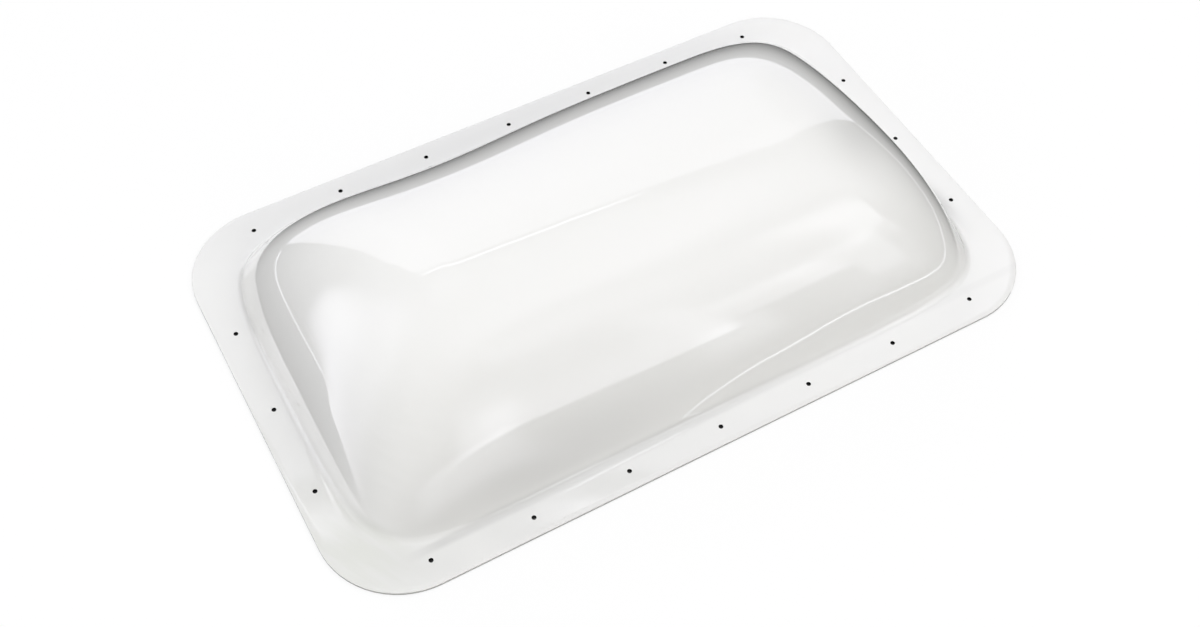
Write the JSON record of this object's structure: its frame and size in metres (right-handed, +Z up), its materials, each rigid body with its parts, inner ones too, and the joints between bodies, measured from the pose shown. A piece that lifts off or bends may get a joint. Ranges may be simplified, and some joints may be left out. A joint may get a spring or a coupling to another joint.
{
  "type": "rv skylight",
  "caption": "One-piece white acrylic skylight dome with a flat screw-down rim and a tape seal under it, for the roof of a caravan or camper.",
  "frame": {"origin": "middle of the flat face that the tape seal rests on", "axes": "+X along the long side, +Y across it, +Z up through the crown of the dome"},
  "size_m": [0.8762, 0.5462, 0.157],
  "materials": {
    "white_acrylic": "high gloss, translucent white sheet",
    "sealing_tape": "matte grey closed-cell tape"
  },
  "bodies": {
    "root": {"outer_dome": "white_acrylic", "seal_strip_front": "sealing_tape", "seal_strip_back": "sealing_tape", "seal_strip_left": "sealing_tape", "seal_strip_right": "sealing_tape"}
  },
  "joints": []
}
